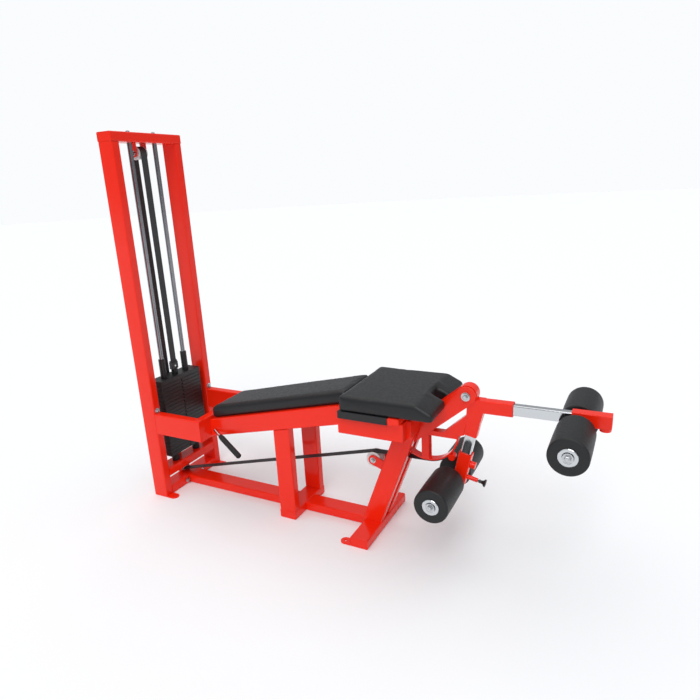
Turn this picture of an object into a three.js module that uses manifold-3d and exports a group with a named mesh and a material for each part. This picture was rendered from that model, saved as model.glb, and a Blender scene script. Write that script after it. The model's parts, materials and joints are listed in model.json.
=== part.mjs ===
// Leg extension and prone leg curl machine with a weight stack, in millimetres, +Z up.
// X runs along the bench from the weight tower to the rollers, Y runs across the machine,
// and the origin lies on the floor under the middle of the tower's base beam.
// Sizes along X are counted from the tower's outer face, and the group is moved at the end.
import * as THREE from "three";
import { mergeVertices } from "three/addons/utils/BufferGeometryUtils.js";
import Module from "manifold-3d";

const wasm = await Module();
wasm.setup();

// ---------------------------------------------------------------- driving dimensions
const GAP = 0.3; // clearance between pieces that touch
const RUN = 0.1; // radial clearance where a piece turns on its axle
const TUBE_A = 80; // frame tube, wide side
const TUBE_B = 40; // frame tube, narrow side
const WALL = 3;
const HALF_W = 200; // half width of the tower, the front foot and the seat
const TOWER_H = 1660;
const CAGE = { x: 344, z0: 330, z1: 430 }; // beams that tie the bench to the tower
const SUPPORT = { z0: 94, z1: 134 }; // beam that carries the weight stack

const STACK = { x: 41, depth: 76, halfY: 130, rodY: 72, plates: 20, perNode: 4, pitch: 18 };
const BUFFER_H = 46;
const HEAD_H = 22;
const SLEEVE_H = 92;
const ROD_R = 10;

const BELT = { w: 34, t: 2.4 };
const TOP_PULLEY = { x: 14.8, z: 1580, r: 26 };
const LOW_PULLEY = { x: 9, z: 69.6, r: 20 };
const IDLER = { x: 1106, z: 306, r: 30 };
const [TOP_AXLE, LOW_AXLE, IDLER_AXLE] = [6, 5, 7]; // radii

const RAIL_Y = [87, 127]; // bench rails and legs, inner and outer face
const RAIL = { x0: 344.5, x1: 1040, z0: 374, slope: 0.2345 }; // z0: centre line at x0
const LEG_X = [687, 767];
const FOOT_X = [1070, 1150];
const POST = { y: [22, 62], x: 1104, lean: 0.379, top: 475 }; // x: centre line at the foot
const SEAT_RAIL = { x0: 1030, x1: 1300, y: [127.3, 167.3], z0: 475, z1: 551 };

const PAD = { x0: 346, x1: 1043, halfY: 120, t: 55 };
const SEAT = { x0: 1045, ridge: 1363, x1: 1427, z0: 580, z1: 644, front: 612 };
const SEAT_NOTCH = { x: 1366, halfY: 32 };
const BOARD = { x1: 1250, z0: 551.3 };
const BEARER = { w: 46, halfY: 193 }; // flat tube under the seat's front half

const PIVOT = { x: 1497, z: 637, r: 36, shaft: 12 };
const FORK_Y = [22.5, 30.5];
const FORK_ANGLE = 39.8; // degrees above the horizontal
const ARM_Z = 597; // centre line of the upper arm
const LOWER_LEAN = 12.5; // degrees, the lower arm leans back under the seat
const OUTER_TUBE = { h: 50, w: 40 };
const INNER_TUBE = { h: 40, w: 30 };
const SLEEVE_TUBE = OUTER_TUBE;
const CAM = { x: 1341, z: 468, r: 123, t: 6, halfY: 17, bar: 20 };
const BELT_END = { angle: -45.6, r: 13.5 }; // the boss on the cam's rim that holds the belt's end
const ROLLER = { r: 65.5, y0: 43, y1: 246, bore: 13 };
const UPPER_AXLE = { x: 1880, z: 561 };
const LOWER_SLEEVE = [196, 326]; // distances down the lower arm
const LOWER_AXLE = { x: 321, z: -34 }; // x down the lower arm, -z towards the tower
// The lower pin: all but along count from the arm's centre line.
const LOWER_PIN = { along: 296, tip: 20.6, guide: 68, knob: 72 };
const LOWER_TRAVEL = 50; // the lower bracket's adjustment
const AXLE_R = 9;
// Round boss on each sleeve, its end counted from the arm's centre line.
const UPPER_BOSS = { r: 19, end: 35 };
const LOWER_BOSS = { r: 14, end: 46 };

// ---------------------------------------------------------------- materials
const paint = new THREE.MeshStandardMaterial({ color: "#e8190c", roughness: 0.35, metalness: 0 });
const chrome = new THREE.MeshStandardMaterial({ color: "#c9cdd2", roughness: 0.12, metalness: 1 });
const iron = new THREE.MeshStandardMaterial({ color: "#1b1c1e", roughness: 0.55, metalness: 0 });
const rubber = new THREE.MeshStandardMaterial({ color: "#141416", roughness: 0.8, metalness: 0 });
const vinyl = new THREE.MeshStandardMaterial({ color: "#1a1a1c", roughness: 0.5, metalness: 0 });
const foam = new THREE.MeshStandardMaterial({ color: "#17181a", roughness: 0.7, metalness: 0 });
const nylon = new THREE.MeshStandardMaterial({ color: "#b9bcbe", roughness: 0.45, metalness: 0 });
const webbing = new THREE.MeshStandardMaterial({ color: "#26272a", roughness: 0.7, metalness: 0 });

// ---------------------------------------------------------------- solids
const X = new THREE.Vector3(1, 0, 0);
const Y = new THREE.Vector3(0, 1, 0);
const Z = new THREE.Vector3(0, 0, 1);

/** Turns a geometry into a manifold-3d solid. */
function solid(geometry) {
  const g = geometry.clone();
  g.deleteAttribute("normal");
  g.deleteAttribute("uv");
  const m = mergeVertices(g, 1e-4);
  const mesh = new wasm.Mesh({
    numProp: 3,
    vertProperties: m.attributes.position.array,
    triVerts: new Uint32Array(m.index.array),
  });
  return new wasm.Manifold(mesh);
}

/** Turns a manifold-3d solid back into a geometry. */
function geometryOf(made) {
  const m = made.getMesh();
  const n = m.numProp;
  const v = new Float32Array(m.numVert * 3);
  for (let i = 0; i < m.numVert; i++) v.set(m.vertProperties.subarray(i * n, i * n + 3), i * 3);
  const g = new THREE.BufferGeometry();
  g.setAttribute("position", new THREE.BufferAttribute(v, 3));
  g.setIndex(new THREE.BufferAttribute(new Uint32Array(m.triVerts), 1));
  return g;
}

const join = (first, ...rest) => geometryOf(rest.reduce((s, g) => s.add(solid(g)), solid(first)));
const cut = (first, ...rest) => geometryOf(rest.reduce((s, g) => s.subtract(solid(g)), solid(first)));

/** Extrudes a shape drawn in X and Y along +Z. */
function extrude(shape, depth, curveSegments = 12) {
  return new THREE.ExtrudeGeometry(shape, { depth, bevelEnabled: false, curveSegments });
}

/** A rectangle with rounded corners, centred on the origin. */
function roundedRect(w, h, r, Kind = THREE.Shape) {
  const s = new Kind();
  s.moveTo(-w / 2 + r, -h / 2);
  s.lineTo(w / 2 - r, -h / 2);
  s.absarc(w / 2 - r, -h / 2 + r, r, -Math.PI / 2, 0);
  s.lineTo(w / 2, h / 2 - r);
  s.absarc(w / 2 - r, h / 2 - r, r, 0, Math.PI / 2);
  s.lineTo(-w / 2 + r, h / 2);
  s.absarc(-w / 2 + r, h / 2 - r, r, Math.PI / 2, Math.PI);
  s.lineTo(-w / 2, -h / 2 + r);
  s.absarc(-w / 2 + r, -h / 2 + r, r, Math.PI, 1.5 * Math.PI);
  return s;
}

/** A rectangular tube open at both ends, along +Z from 0, with its w side along X. */
function tube(w, h, length, wall = WALL, r = 5) {
  const shape = roundedRect(w, h, r);
  shape.holes.push(roundedRect(w - 2 * wall, h - 2 * wall, 1.5, THREE.Path));
  return extrude(shape, length, 1);
}

/** The same tube lying along +X from x0 to x1, w side along Y. */
function tubeX(w, h, x0, x1, y, z) {
  const g = tube(w, h, x1 - x0);
  g.applyMatrix4(new THREE.Matrix4().makeBasis(Y, Z, X));
  return g.translate(x0, y, z);
}

/** The same tube lying along +Y from y0 to y1, w side along X. */
function tubeY(w, h, y0, y1, x, z) {
  const g = tube(h, w, y1 - y0);
  g.applyMatrix4(new THREE.Matrix4().makeBasis(Z, X, Y));
  return g.translate(x, y0, z);
}

/** Adds dx to X and dz to Z in proportion to a vertex's distance from the plane x = x0 or z = z0. */
function shear(g, { zPerX = 0, x0 = 0, xPerZ = 0, z0 = 0 }) {
  const p = g.attributes.position;
  for (let i = 0; i < p.count; i++) {
    const x = p.getX(i);
    const z = p.getZ(i);
    p.setX(i, x + xPerZ * (z - z0));
    p.setZ(i, z + zPerX * (x - x0));
  }
  return g;
}

/** Moves only the top vertices, so that the top end is cut along a slope. */
function slopeTop(g, zPerX, x0, top) {
  const p = g.attributes.position;
  for (let i = 0; i < p.count; i++) {
    if (p.getZ(i) > top - 1) p.setZ(i, top + zPerX * (p.getX(i) - x0));
  }
  return g;
}

/** Extrudes a shape drawn in X and Z across Y. */
function plateXZ(shape, y0, y1, segments = 12) {
  const g = extrude(shape, y1 - y0, segments);
  g.applyMatrix4(new THREE.Matrix4().makeBasis(X, Z, Y.clone().negate()));
  return g.translate(0, y1, 0);
}

/** A solid or bored cylinder along Y, or along another axis. */
function cylinder(r, from, to, bore = 0, segments = 32) {
  const along = new THREE.Vector3().subVectors(to, from);
  const profile = [
    new THREE.Vector2(bore, 0),
    new THREE.Vector2(r, 0),
    new THREE.Vector2(r, along.length()),
    new THREE.Vector2(bore, along.length()),
    new THREE.Vector2(bore, 0),
  ];
  const g = new THREE.LatheGeometry(bore ? profile : profile.slice(0, 4), segments);
  const turn = new THREE.Quaternion().setFromUnitVectors(Y, along.clone().normalize());
  return g.applyQuaternion(turn).translate(from.x, from.y, from.z);
}

const acrossY = (r, x, z, y0, y1, bore = 0, segments = 32) =>
  cylinder(r, new THREE.Vector3(x, y0, z), new THREE.Vector3(x, y1, z), bore, segments);

/** A body of revolution about Y, from a list of [radius, y] points. */
function turnedY(points, x, z, segments = 32) {
  return new THREE.LatheGeometry(points.map((p) => new THREE.Vector2(...p)), segments).translate(x, 0, z);
}

/** A bar with one round end at the origin that runs along +X for a length. */
function lugShape(r, length) {
  const s = new THREE.Shape();
  s.moveTo(length, r);
  s.lineTo(0, r);
  s.absarc(0, 0, r, Math.PI / 2, 1.5 * Math.PI);
  s.lineTo(length, -r);
  s.closePath();
  return s;
}

// ---------------------------------------------------------------- scene graph helpers
const machine = new THREE.Group();

function add(name, geometry, material, parent = machine) {
  const mesh = new THREE.Mesh(geometry, material);
  mesh.name = name;
  parent.add(mesh);
  return mesh;
}

/** Adds a piece for the near side (-Y) and its mirror image for the far side (+Y). */
function addPair(name, make, material) {
  for (const [side, sign] of [["near", -1], ["far", 1]]) add(name + "_" + side, make(sign), material);
}

const between = (sign, [a, b]) => (sign < 0 ? [-b, -a] : [a, b]);
const middle = (sign, [a, b]) => (sign * (a + b)) / 2;

// ---------------------------------------------------------------- weight tower
const TUBE_X = TUBE_A / 2; // tower tubes are centred at this X

/** A flat lug with a round end and a hole for a floor anchor; it runs along +X from the hole. */
function anchorLug() {
  const hole = cylinder(6, new THREE.Vector3(0, 0, -1), new THREE.Vector3(0, 0, 8), 0, 16);
  return cut(extrude(lugShape(20, 31), 6, 8), hole);
}

/** An upright with the rounded anchor lug at its foot. */
function upright(sign) {
  const y = sign * (HALF_W - TUBE_B / 2);
  const post = tube(TUBE_A, TUBE_B, TOWER_H - TUBE_B - GAP).translate(TUBE_X, y, 0);
  return join(post, anchorLug().rotateZ(Math.PI).translate(TUBE_A + 30, y, 0));
}

/** Two hanging plates with round ends and the axle between them. */
function pulleyPlates({ x, z }, { halfY, t, r, top, axle }) {
  const shape = new THREE.Shape();
  shape.moveTo(x - r, top);
  shape.lineTo(x - r, z);
  shape.absarc(x, z, r, Math.PI, 2 * Math.PI);
  shape.lineTo(x + r, top);
  shape.closePath();
  const plates = [-1, 1].map((s) => plateXZ(shape, ...between(s, [halfY - t, halfY]), 8));
  return [...plates, acrossY(axle, x, z, -halfY - 7, halfY + 7, 0, 20)];
}

/** A flat-belt pulley with two rims and a bore. */
function pulley({ x, z, r }, halfY, bore) {
  const rim = r + 3;
  const edge = 2;
  return turnedY(
    [[bore, -halfY], [rim, -halfY], [rim, -halfY + edge], [r, -halfY + edge + 1], [r, halfY - edge - 1],
      [rim, halfY - edge], [rim, halfY], [bore, halfY], [bore, -halfY]],
    x, z, 24,
  );
}

function buildTower() {
  const inner = HALF_W - TUBE_B - GAP;
  addPair("tower_upright", upright, paint);
  const beam = tubeY(TUBE_A, TUBE_B, -HALF_W, HALF_W, TUBE_X, TOWER_H - TUBE_B / 2);
  const hangers = pulleyPlates(TOP_PULLEY,
    { halfY: 31, t: 5, r: 17, top: TOWER_H - TUBE_B + 1, axle: TOP_AXLE });
  add("tower_top_beam", join(beam, ...hangers), paint);
  add("tower_base_beam", tubeY(TUBE_A, TUBE_B, -inner, inner, TUBE_X, TUBE_B / 2), paint);
  const { z0, z1 } = SUPPORT;
  const support = tubeY(TUBE_A, z1 - z0, -inner, inner, TUBE_X, (z0 + z1) / 2);
  add("stack_support_beam", support, paint);
  add("top_pulley", pulley(TOP_PULLEY, 23, TOP_AXLE + RUN), nylon);
  add("bottom_pulley", pulley({ ...LOW_PULLEY, r: LOW_PULLEY.r - 0.1 }, 21, LOW_AXLE + RUN), nylon);
  // The lower bracket is drawn hanging and then turned over, so its heights are negative.
  const bracket = pulleyPlates({ x: LOW_PULLEY.x, z: -LOW_PULLEY.z },
    { halfY: 28, t: 5, r: 14, top: -TUBE_B - GAP, axle: LOW_AXLE });
  add("bottom_pulley_bracket", join(...bracket).scale(1, -1, -1), paint);
}

function buildStack() {
  const { x, depth, halfY, rodY, plates, perNode, pitch } = STACK;
  const up = (px, py, r, z0, z1, bore = 0, n = 20) =>
    cylinder(r, new THREE.Vector3(px, py, z0), new THREE.Vector3(px, py, z1), bore, n);
  const floor = SUPPORT.z1 + GAP;
  const first = floor + BUFFER_H + GAP;
  addPair("guide_rod", (s) => up(x, s * rodY, ROD_R, floor, TOWER_H - TUBE_B - GAP, 0, 24), chrome);
  addPair("stack_buffer", (s) => up(x, s * rodY, 18, floor, floor + BUFFER_H, ROD_R + 0.6, 24), rubber);
  const slab = (z0, z1) => {
    const shape = roundedRect(depth, 2 * halfY, 2);
    for (const y of [-rodY, 0, rodY]) {
      const r = y ? ROD_R + 1.2 : 9;
      shape.holes.push(new THREE.Path().absarc(0, y, r, 0, 2 * Math.PI, true));
    }
    return extrude(shape, z1 - z0, 5).translate(x, 0, z0);
  };
  const groove = (z) => {
    const ring = roundedRect(depth + 40, 2 * halfY + 40, 1);
    ring.holes.push(roundedRect(depth - 3, 2 * halfY - 3, 1, THREE.Path));
    return extrude(ring, 2, 1).translate(x, 0, z - 1);
  };
  for (let n = 0; n < plates / perNode; n++) {
    const z = first + n * perNode * pitch;
    const grooves = Array.from({ length: perNode - 1 }, (_, i) => groove(z + (i + 1) * pitch));
    add("weight_plates_" + (n + 1), cut(slab(z, z + perNode * pitch - GAP), ...grooves), iron);
  }
  const head = first + plates * pitch;
  const cap = head + HEAD_H;
  const sleeves = [-1, 1].map((s) => up(x, s * rodY, 15, cap - 1, cap + SLEEVE_H, ROD_R + 1.2, 24));
  add("stack_head_plate", join(slab(head, cap), ...sleeves), iron);
  return head;
}

/** The selector rod in the stack with the belt clamp and clevis on its top. */
function selectorStem(head) {
  const { x } = STACK;
  const top = head + HEAD_H;
  const rod = cylinder(8, new THREE.Vector3(x, 0, 190), new THREE.Vector3(x, 0, top + 2), 0, 20);
  const collar = cylinder(15, new THREE.Vector3(x, 0, top + GAP), new THREE.Vector3(x, 0, top + 26), 0, 24);
  const block = new THREE.BoxGeometry(20, 38, 34).translate(x, 0, top + 42);
  const bar = new THREE.BoxGeometry(11, 40, 8).translate(x, 0, top + 62);
  add("selector_stem", join(rod, collar, block, bar), iron);
  return top + 66;
}

// ---------------------------------------------------------------- bench frame
const railZ = (x) => RAIL.z0 + RAIL.slope * (x - RAIL.x0);
const postX = (z) => POST.x + POST.lean * (z - TUBE_B);

function buildCage() {
  const h = CAGE.z1 - CAGE.z0;
  const z = (CAGE.z0 + CAGE.z1) / 2;
  const y = HALF_W - TUBE_B / 2;
  addPair("cage_side_beam", (s) => tubeX(TUBE_B, h, TUBE_A + GAP, CAGE.x, s * y, z), paint);
  const inner = HALF_W - TUBE_B - GAP;
  add("cage_cross_beam", tubeY(TUBE_B, h, -inner, inner, CAGE.x - TUBE_B / 2, z), paint);
}

function benchRail(sign) {
  const height = TUBE_A / Math.cos(Math.atan(RAIL.slope));
  const g = tubeX(TUBE_B, height, RAIL.x0, RAIL.x1, middle(sign, RAIL_Y), RAIL.z0);
  return shear(g, { zPerX: RAIL.slope, x0: RAIL.x0 });
}

function leg(sign) {
  const x = (LEG_X[0] + LEG_X[1]) / 2;
  const under = railZ(x) - TUBE_A / 2 / Math.cos(Math.atan(RAIL.slope)) - GAP;
  const g = tube(TUBE_A, TUBE_B, under - TUBE_B - GAP).translate(x, middle(sign, RAIL_Y), TUBE_B + GAP);
  return slopeTop(g, RAIL.slope, x, under);
}

function frontPost(sign) {
  const width = TUBE_A * Math.sqrt(1 + POST.lean ** 2);
  const g = tube(width, TUBE_B, POST.top - TUBE_B - 2 * GAP);
  g.translate(POST.x, middle(sign, POST.y), TUBE_B + GAP);
  return shear(g, { xPerZ: POST.lean, z0: TUBE_B });
}

/** The front foot, a flat tube across the machine with a rounded anchor lug at each end. */
function frontFoot() {
  const x = (FOOT_X[0] + FOOT_X[1]) / 2;
  const bar = tubeY(TUBE_A, TUBE_B, -HALF_W, HALF_W, x, TUBE_B / 2);
  const lugs = [-1, 1].map((s) => anchorLug().translate(FOOT_X[0] - 30, s * (HALF_W - 20), 0));
  return join(bar, ...lugs);
}

function buildBenchFrame() {
  addPair("bench_rail", benchRail, paint);
  addPair("bench_leg", leg, paint);
  const mid = (LEG_X[0] + LEG_X[1]) / 2;
  add("mid_foot", tubeY(TUBE_A, TUBE_B, -RAIL_Y[1], RAIL_Y[1], mid, TUBE_B / 2), paint);
  add("base_rail_rear", tubeX(TUBE_A, TUBE_B, TUBE_A + GAP, LEG_X[0] - GAP, 0, TUBE_B / 2), paint);
  add("base_rail_front", tubeX(TUBE_A, TUBE_B, LEG_X[1] + GAP, FOOT_X[0] - GAP, 0, TUBE_B / 2), paint);
  add("front_foot", frontFoot(), paint);
  addPair("front_post", frontPost, paint);
  const { x0, x1, y, z0, z1 } = SEAT_RAIL;
  addPair("seat_rail", (s) => tubeX(TUBE_B, z1 - z0, x0, x1, middle(s, y), (z0 + z1) / 2), paint);
  add("seat_cross_tube", tubeY(96, z1 - z0, GAP - y[0], y[0] - GAP, 1268, (z0 + z1) / 2), paint);
  const [b0, b1] = [BOARD.z0, SEAT.z0 - GAP];
  const bearerX = BOARD.x1 + GAP + BEARER.w / 2;
  add("seat_bearer", tubeY(BEARER.w, b1 - b0, -BEARER.halfY, BEARER.halfY, bearerX, (b0 + b1) / 2), paint);
}

/** Idler plates that stand out square from the leaning posts, with the axle between them. */
function buildIdler() {
  const lean = Math.atan(POST.lean);
  const reach = (postX(IDLER.z) - IDLER.x) * Math.cos(lean) - TUBE_A / 2 - 1;
  const plates = [-1, 1].map((s) =>
    plateXZ(lugShape(21, reach), ...between(s, [22, 28])).rotateY(lean).translate(IDLER.x, 0, IDLER.z));
  add("idler_bracket", join(...plates, acrossY(IDLER_AXLE, IDLER.x, IDLER.z, -34, 34, 0, 20)), paint);
  add("idler_pulley", pulley(IDLER, 21, IDLER_AXLE + RUN), nylon);
}

/** The two fork plates that carry the lever, and the shaft through them. */
function buildFork() {
  const angle = THREE.MathUtils.degToRad(FORK_ANGLE);
  const faceX = postX(POST.top) + (TUBE_A / 2) * Math.sqrt(1 + POST.lean ** 2);
  const plate = (s) => {
    const shape = lugShape(PIVOT.r, 330);
    const blank = plateXZ(shape, ...between(s, FORK_Y)).rotateY(Math.PI - angle);
    blank.translate(PIVOT.x, 0, PIVOT.z);
    // The rear end follows the front faces of the post and of the cross tube.
    const rear = shear(new THREE.BoxGeometry(400, 100, 600).translate(faceX - 200 + GAP, 0, POST.top - 300),
      { xPerZ: POST.lean, z0: POST.top });
    const block = new THREE.BoxGeometry(400, 100, 300).translate(1316 + GAP - 200, 0, POST.top + 149);
    const bore = acrossY(PIVOT.shaft + RUN, PIVOT.x, PIVOT.z, -60, 60);
    return cut(blank, rear, block, bore);
  };
  addPair("fork_plate", plate, paint);
  const heads = [-1, 1].map((s) => acrossY(17, PIVOT.x, PIVOT.z, ...between(s, [FORK_Y[1] + GAP, 38])));
  add("pivot_shaft", join(acrossY(PIVOT.shaft, PIVOT.x, PIVOT.z, -40, 40), ...heads), chrome);
}

// ---------------------------------------------------------------- pads and hand grips
function buildPads() {
  const top = TUBE_A / 2 / Math.cos(Math.atan(RAIL.slope)) + GAP;
  const pad = extrude(roundedRect(2 * PAD.halfY, PAD.t, 16), PAD.x1 - PAD.x0, 4);
  pad.applyMatrix4(new THREE.Matrix4().makeBasis(Y, Z, X)).translate(PAD.x0, 0, RAIL.z0 + top + PAD.t / 2);
  add("bench_pad", shear(pad, { zPerX: RAIL.slope, x0: RAIL.x0 }), vinyl);

  const side = new THREE.Shape();
  side.moveTo(SEAT.x0, SEAT.z0);
  side.lineTo(SEAT.x1, SEAT.z0);
  side.lineTo(SEAT.x1, SEAT.front);
  side.lineTo(SEAT.ridge, SEAT.z1);
  side.lineTo(SEAT.x0, SEAT.z1);
  side.closePath();
  const notch = new THREE.BoxGeometry(200, 2 * SEAT_NOTCH.halfY, 200).translate(SEAT_NOTCH.x + 100, 0, 620);
  add("seat_pad", cut(plateXZ(side, -HALF_W, HALF_W), notch), vinyl);
  const board = new THREE.BoxGeometry(BOARD.x1 - SEAT.x0, 2 * HALF_W - 10, SEAT.z0 - GAP - BOARD.z0);
  board.translate((SEAT.x0 + BOARD.x1) / 2, 0, (SEAT.z0 - GAP + BOARD.z0) / 2);
  add("seat_board", board, vinyl);
}

/** A hand grip: a bent bar from the rail's side with a rubber sleeve, one each side. */
function handGrip(sign) {
  const from = new THREE.Vector3(372, sign * (RAIL_Y[1] + 7.5), 370);
  const to = new THREE.Vector3(560, sign * 213, 309);
  const along = (t) => new THREE.Vector3().lerpVectors(from, to, t);
  return join(cylinder(7, along(0), along(0.3), 0, 16), cylinder(12, along(0.22), along(1), 0, 24));
}

// ---------------------------------------------------------------- lever
const lowerArm = new THREE.Group(); // its own -Z runs down the lower arm from its top
const LOWER_TOP = { x: 1534, z: 590 };
lowerArm.position.set(LOWER_TOP.x, 0, LOWER_TOP.z);
lowerArm.rotation.y = THREE.MathUtils.degToRad(LOWER_LEAN);
machine.add(lowerArm);

function placed(geometry) {
  lowerArm.updateMatrixWorld();
  return geometry.applyMatrix4(lowerArm.matrixWorld);
}

/** The cam: a half ring below a bar, the strut between them, and the boss that holds the belt's end. */
function camGeometry() {
  const { x, z, r, t, halfY, bar } = CAM;
  const half = new THREE.Shape();
  half.moveTo(x - r, z + 5);
  half.lineTo(x - r, z);
  half.absarc(x, z, r, Math.PI, 2 * Math.PI);
  half.lineTo(x + r, z + 5);
  half.lineTo(x + r - t, z + 5);
  half.lineTo(x + r - t, z);
  half.absarc(x, z, r - t, 2 * Math.PI, Math.PI, true);
  half.lineTo(x - r + t, z + 5);
  half.closePath();
  const rim = plateXZ(half, -halfY, halfY, 28);
  const top = new THREE.BoxGeometry(2 * r, 2 * halfY, bar).translate(x, 0, z - bar / 2 + 5);
  const strut = new THREE.BoxGeometry(30, 2 * halfY, r - bar / 2).translate(x - 10, 0, z - r / 2 - 2);
  const angle = THREE.MathUtils.degToRad(BELT_END.angle);
  const out = r + BELT_END.r - 1;
  const holder = acrossY(BELT_END.r, x + out * Math.cos(angle), z + out * Math.sin(angle), -15, 15, 0, 24);
  return [rim, top, strut, holder];
}

/** Hub, outer tubes of both arms and the cam with its gusset, welded into one piece. */
function leverFrame() {
  const { x, z, r, shaft } = PIVOT;
  const hub = acrossY(r, x, z, -20, 20, 0, 48);
  const bore = acrossY(shaft + RUN, x, z, -60, 60, 0, 32);
  const outer = tubeX(OUTER_TUBE.w, OUTER_TUBE.h, LOWER_TOP.x, 1664, 0, ARM_Z);
  const web = new THREE.Shape();
  web.moveTo(x, z - 30);
  web.lineTo(x + 26, ARM_Z + 25);
  web.lineTo(1560, ARM_Z + 25);
  web.lineTo(1558, ARM_Z - 25);
  web.lineTo(1544, 520);
  web.lineTo(1494, 520);
  web.closePath();
  const knee = plateXZ(web, -20, 20);
  const down = placed(tube(OUTER_TUBE.h, OUTER_TUBE.w, 100).translate(0, 0, -118));
  const gusset = new THREE.Shape();
  gusset.moveTo(1402, CAM.z + 2);
  gusset.lineTo(1494, 556);
  gusset.lineTo(1502, 540);
  gusset.lineTo(1486, 474);
  gusset.lineTo(CAM.x + CAM.r - 4, CAM.z - 5);
  gusset.lineTo(1402, CAM.z - 5);
  gusset.closePath();
  const room = acrossY(r + 2, x, z, -60, 60, 0, 48);
  const arms = join(outer, knee, down, plateXZ(gusset, -CAM.halfY, CAM.halfY), ...camGeometry());
  return cut(join(cut(arms, room), acrossY(r + 2.5, x, z, -20, 20, 0, 48)), bore);
}

/** A square sleeve on an inner tube, with its axle and boss. In its own frame the arm runs along +X. */
function rollerBracket({ x0, x1, axle, boss }) {
  const room = 0.4;
  const shape = roundedRect(SLEEVE_TUBE.w, SLEEVE_TUBE.h, 4);
  shape.holes.push(roundedRect(INNER_TUBE.w + 2 * room, INNER_TUBE.h + 2 * room, 1.5, THREE.Path));
  const sleeve = extrude(shape, x1 - x0, 2);
  sleeve.applyMatrix4(new THREE.Matrix4().makeBasis(Y, Z, X)).translate(x0, 0, 0);
  const hubs = acrossY(14, axle.x, axle.z, -SLEEVE_TUBE.w / 2, SLEEVE_TUBE.w / 2, 0, 24);
  const rod = acrossY(AXLE_R, axle.x, axle.z, -ROLLER.y1 - 6, ROLLER.y1 + 6, 0, 20);
  const core = new THREE.BoxGeometry(x1 - x0 + 9, INNER_TUBE.w + 2 * room, INNER_TUBE.h + 2 * room);
  core.translate((x0 + x1) / 2, 0, 0);
  return join(cut(join(sleeve, hubs), core), rod, boss);
}

function roller(axle, sign) {
  const washer = ROLLER.y1 + 4;
  const [r, b] = [ROLLER.r, AXLE_R + RUN];
  const { y0, y1 } = ROLLER;
  const profile = [[b, y0], [r - 6, y0], [r, y0 + 6], [r, y1 - 6], [r - 6, y1],
    [30, y1], [30, washer], [b, washer], [b, y0]];
  const points = sign > 0 ? profile : profile.map(([x, y]) => [x, -y]).reverse();
  return turnedY(points, axle.x, axle.z, 28);
}

function buildLever() {
  add("lever_frame", leverFrame(), paint);
  add("upper_inner_tube", tubeX(INNER_TUBE.w, INNER_TUBE.h, 1600, 1982, 0, ARM_Z), chrome);
  const lowInner = tube(INNER_TUBE.h, INNER_TUBE.w, 237).translate(0, 0, -324);
  const pinHole = (along) =>
    cylinder(4.6, new THREE.Vector3(10, 0, -along), new THREE.Vector3(30, 0, -along), 0, 16);
  const stops = [LOWER_PIN.along, LOWER_PIN.along - LOWER_TRAVEL];
  add("lower_inner_tube", placed(cut(lowInner, ...stops.map(pinHole))), chrome);

  const down = (x, y, z0, z1, r) =>
    cylinder(r, new THREE.Vector3(x, y, z0), new THREE.Vector3(x, y, z1), 0, 20);
  const upper = rollerBracket({
    x0: 1860, x1: 1988,
    axle: { x: UPPER_AXLE.x, z: UPPER_AXLE.z - ARM_Z },
    boss: down(1968, 0, -UPPER_BOSS.end, -SLEEVE_TUBE.h / 2 + 1, UPPER_BOSS.r),
  });
  add("upper_roller_bracket", upper.translate(0, 0, ARM_Z), paint);

  // The lower bracket is the same piece on the lower arm, so it is turned by a quarter.
  const toLower = (g) => placed(g.rotateY(Math.PI / 2));
  const guide = cylinder(8.5, new THREE.Vector3(LOWER_PIN.along, 0, SLEEVE_TUBE.h / 2 - 1),
    new THREE.Vector3(LOWER_PIN.along, 0, LOWER_PIN.guide), 4.6, 20);
  const lower = rollerBracket({
    x0: LOWER_SLEEVE[0], x1: LOWER_SLEEVE[1],
    axle: LOWER_AXLE,
    boss: join(down(240, 0, SLEEVE_TUBE.h / 2 - 1, LOWER_BOSS.end, LOWER_BOSS.r), guide),
  });
  const hole = down(LOWER_PIN.along, 0, 10, 60, 4.6);
  add("lower_roller_bracket", toLower(cut(lower, hole)), paint);
  const pin = popPin().rotateY(-Math.PI / 2).translate(LOWER_PIN.along, 0, 0);
  add("lower_pop_pin", toLower(pin), iron);

  for (const [side, sign] of [["near", -1], ["far", 1]]) {
    add("upper_roller_" + side, roller(UPPER_AXLE, sign), foam);
    const at = new THREE.Vector3(LOWER_AXLE.x, 0, LOWER_AXLE.z).applyAxisAngle(Y, Math.PI / 2);
    at.applyMatrix4(lowerArm.matrixWorld);
    add("lower_roller_" + side, roller(at, sign), foam);
  }
}

/** The spring pin at the foot of the lower bracket; its knob pulls out of the bracket's guide. */
function popPin() {
  const [tip, end] = [LOWER_PIN.tip, LOWER_PIN.knob + 1].map((x) => new THREE.Vector3(x, 0, 0));
  const stem = cylinder(4, tip, end, 0, 16);
  const knob = new THREE.LatheGeometry(
    [[0, 0], [7, 0], [6, 10], [8, 16], [15, 22], [15, 27], [0, 29]].map((p) => new THREE.Vector2(...p)), 24);
  knob.rotateZ(-Math.PI / 2).translate(LOWER_PIN.knob, 0, 0);
  return join(stem, knob);
}

// ---------------------------------------------------------------- belt
/** A flat strip of the belt between two offset outlines, given as the points of its middle line. */
function strip(points) {
  const [left, right] = [[], []];
  points.forEach((p, i) => {
    const before = points[Math.max(i - 1, 0)];
    const after = points[Math.min(i + 1, points.length - 1)];
    const dir = new THREE.Vector2().subVectors(after, before).normalize();
    const n = new THREE.Vector2(-dir.y, dir.x).multiplyScalar(BELT.t / 2);
    left.push(p.clone().add(n));
    right.unshift(p.clone().sub(n));
  });
  return plateXZ(new THREE.Shape([...left, ...right]), -BELT.w / 2, BELT.w / 2, 1);
}

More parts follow.
